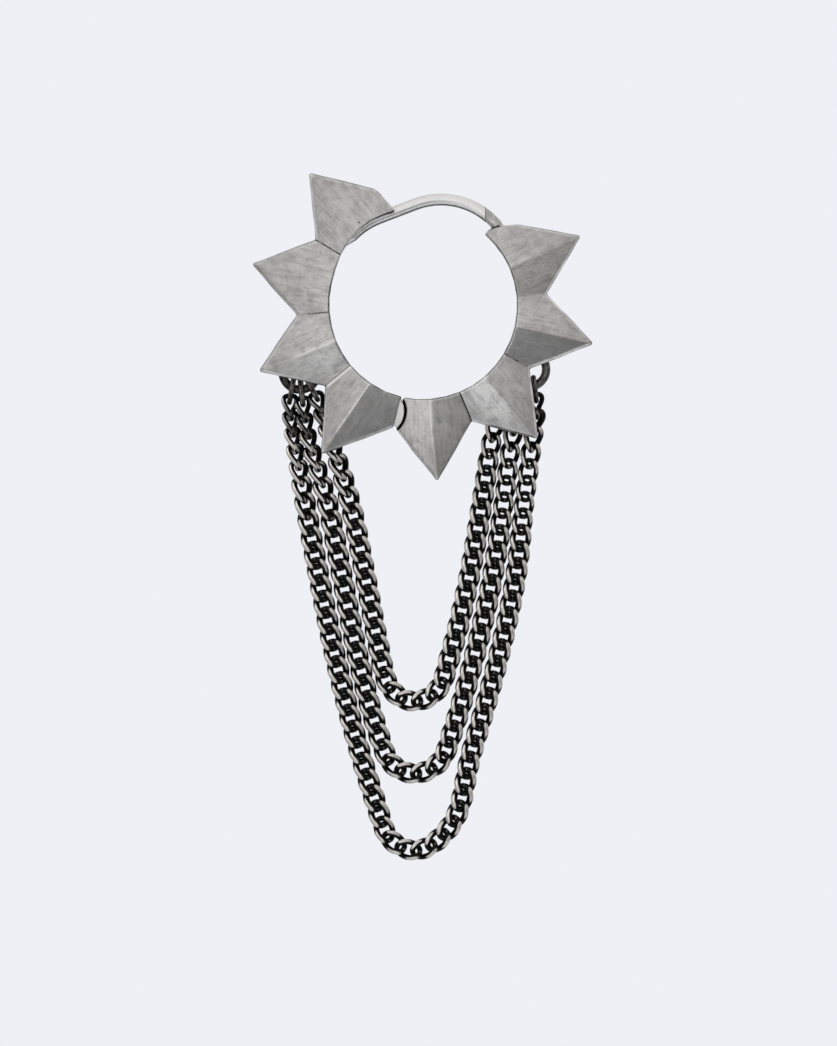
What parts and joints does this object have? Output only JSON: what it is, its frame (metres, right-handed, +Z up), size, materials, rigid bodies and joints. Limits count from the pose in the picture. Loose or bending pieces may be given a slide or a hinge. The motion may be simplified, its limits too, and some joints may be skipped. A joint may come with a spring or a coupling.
{
  "type": "hoop earring",
  "caption": "Hinged huggie hoop earring with faceted spikes around it, a round ear wire and curb chains draped between two jump rings below.",
  "frame": {"origin": "middle of the ear wire at the top of its arch, where the earring hangs in the ear", "axes": "+Z up, +X to the viewer's right, and the viewer in front of the earring looks along +Y"},
  "size_m": [0.0305, 0.0051, 0.0619],
  "materials": {
    "left_half": "burnished antiqued silver",
    "right_half": "burnished antiqued silver",
    "ear_wire": "polished silver",
    "hinge_pin": "plain silver",
    "jump_ring_left": "oxidised silver",
    "jump_ring_right": "oxidised silver",
    "chain_outer": "oxidised silver with worn bright outer faces",
    "chain_middle": "oxidised silver with worn bright outer faces",
    "chain_inner": "oxidised silver with worn bright outer faces"
  },
  "bodies": {
    "root": {"left_half": "left_half", "right_half": "right_half", "ear_wire": "ear_wire", "hinge_pin": "hinge_pin", "jump_ring_left": "jump_ring_left", "jump_ring_right": "jump_ring_right", "chain_outer": "chain_outer", "chain_middle": "chain_middle", "chain_inner": "chain_inner"}
  },
  "joints": []
}
